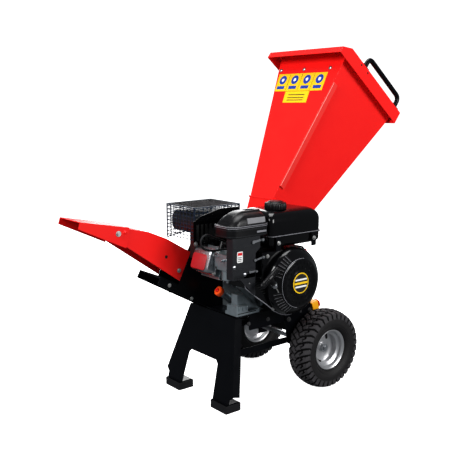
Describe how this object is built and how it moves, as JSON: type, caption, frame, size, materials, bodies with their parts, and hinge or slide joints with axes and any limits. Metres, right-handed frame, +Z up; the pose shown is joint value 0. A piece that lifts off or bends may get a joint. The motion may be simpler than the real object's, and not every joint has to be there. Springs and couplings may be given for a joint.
{
  "type": "wood chipper",
  "caption": "Engine-driven wood chipper on a small wheeled stand: feed hopper, chipping chamber with rotor, and a discharge chute with a tilting deflector.",
  "frame": {"origin": "middle of the whole outline on the ground", "axes": "+Z up, +X from the discharge chute towards the hopper mouth, -Y the recoil starter side"},
  "size_m": [1.2278, 0.5018, 1.1041],
  "materials": {
    "red_paint": "gloss",
    "black_paint": "gloss",
    "engine_black": "high gloss",
    "cast_alloy": "as cast",
    "steel": "plated",
    "tool_steel": "ground",
    "chrome": "bright",
    "tyre": "matt",
    "rubber": "matt",
    "black_plastic": "moulded",
    "orange_plastic": "moulded",
    "red_plastic": "moulded",
    "yellow_plastic": "moulded"
  },
  "bodies": {
    "chassis": {"hopper_shell": "red_paint", "hopper_rim": "red_paint", "hopper_edge_angle": "red_paint", "chute": "red_paint", "throat": "red_paint", "leg_stand": "black_paint", "engine_deck": "black_paint", "side_rail_near": "black_paint", "side_rail_far": "black_paint", "axle_plate_near": "black_paint", "axle_plate_far": "black_paint", "chamber_plate_near": "black_paint", "chamber_plate_far": "black_paint", "chamber_band_upper": "black_paint", "chamber_band_lower": "black_paint", "muffler_guard": "black_paint", "hopper_handle": "black_paint", "cylinder_shroud": "engine_black", "fuel_tank": "engine_black", "fan_shroud": "engine_black", "recoil_cover": "engine_black", "crankcase": "cast_alloy", "side_cover": "cast_alloy", "cylinder": "cast_alloy", "cylinder_head": "cast_alloy", "carburettor": "cast_alloy", "axle": "steel", "axle_nut_near": "steel", "axle_nut_far": "steel", "valve_cover": "steel", "muffler": "steel", "bed_knife": "tool_steel", "foot_pad_near": "rubber", "foot_pad_far": "rubber", "ignition_lead": "rubber", "spark_plug_cap": "black_plastic", "intake_elbow": "black_plastic", "air_cleaner_base": "black_plastic", "air_cleaner_cover": "black_plastic", "stop_box": "yellow_plastic"},
    "wheel_near": {"tyre_near": "tyre", "rim_near": "chrome"},
    "wheel_far": {"tyre_far": "tyre", "rim_far": "chrome"},
    "crank_train": {"crankshaft": "steel", "flywheel": "cast_alloy", "rotor": "steel", "knife_1": "tool_steel", "knife_2": "tool_steel"},
    "deflector": {"chute_deflector": "red_paint"},
    "flap": {"rubber_flap": "rubber"},
    "starter_grip": {"recoil_grip": "black_plastic"},
    "starter_reel": {"recoil_reel": "black_plastic"},
    "filler_cap": {"fuel_cap": "black_plastic"},
    "oil_dipstick": {"dipstick": "orange_plastic"},
    "throttle": {"throttle_lever": "steel"},
    "choke": {"choke_lever": "steel"},
    "fuel_valve": {"fuel_lever": "steel"},
    "engine_switch": {"stop_switch": "red_plastic"},
    "emergency_button": {"stop_button": "red_plastic"}
  },
  "joints": [
    {"name": "wheel_near_spin", "type": "hinge", "parent": "chassis", "child": "wheel_near", "pos_m": [0.15413, -0.1846, 0.13], "axis": [0, 1, 0], "continuous": true},
    {"name": "wheel_far_spin", "type": "hinge", "parent": "chassis", "child": "wheel_far", "pos_m": [0.15413, 0.1694, 0.13], "axis": [0, 1, 0], "continuous": true},
    {"name": "crank_spin", "type": "hinge", "parent": "chassis", "child": "crank_train", "pos_m": [-0.01887, -0.0076, 0.386], "axis": [0, 1, 0], "continuous": true},
    {"name": "deflector_tilt", "type": "hinge", "parent": "chassis", "child": "deflector", "pos_m": [-0.48987, 0.0734, 0.553], "axis": [0, 1, 0], "range_deg": [-35, 0]},
    {"name": "flap_swing", "type": "hinge", "parent": "chassis", "child": "flap", "pos_m": [0.32673, 0.0734, 1.0294], "axis": [0, 1, 0], "range_deg": [-60, 20]},
    {"name": "starter_pull", "type": "slide", "parent": "chassis", "child": "starter_grip", "axis": [-0.5736, 0, 0.8192], "range_m": [0, 0.6], "stiffness_N_per_m": 12, "springref_m": -0.5},
    {"name": "starter_reel_spin", "type": "hinge", "parent": "chassis", "child": "starter_reel", "pos_m": [-0.01887, -0.2326, 0.386], "axis": [0, 1, 0], "range_deg": [0, 640]},
    {"name": "filler_cap_turn", "type": "hinge", "parent": "chassis", "child": "filler_cap", "pos_m": [-0.03787, -0.1526, 0.603], "axis": [0, 0, 1], "range_deg": [0, 90]},
    {"name": "dipstick_turn", "type": "hinge", "parent": "chassis", "child": "oil_dipstick", "pos_m": [-0.13487, -0.0476, 0.317], "axis": [-0.809, 0, 0.5878], "range_deg": [0, 90]},
    {"name": "throttle_turn", "type": "hinge", "parent": "chassis", "child": "throttle", "pos_m": [-0.17687, -0.2086, 0.524], "axis": [0, 1, 0], "range_deg": [-4, 40]},
    {"name": "choke_turn", "type": "hinge", "parent": "chassis", "child": "choke", "pos_m": [-0.16887, -0.2086, 0.47], "axis": [0, 1, 0], "range_deg": [-20, 25]},
    {"name": "fuel_valve_turn", "type": "hinge", "parent": "chassis", "child": "fuel_valve", "pos_m": [-0.18887, -0.2086, 0.438], "axis": [0, 1, 0], "range_deg": [-40, 40]},
    {"name": "engine_switch_rock", "type": "hinge", "parent": "chassis", "child": "engine_switch", "pos_m": [0.05793, -0.1856, 0.4628], "axis": [0, 1, 0], "range_deg": [-6, 6]},
    {"name": "emergency_button_press", "type": "slide", "parent": "chassis", "child": "emergency_button", "axis": [-0.9563, 0, -0.2924], "range_m": [0, 0.0035], "stiffness_N_per_m": 300, "springref_m": -0.002}
  ],
  "couplings": [
    {"joint": "starter_reel_spin", "follows": "starter_pull", "rad_per_m": 18.518}
  ]
}
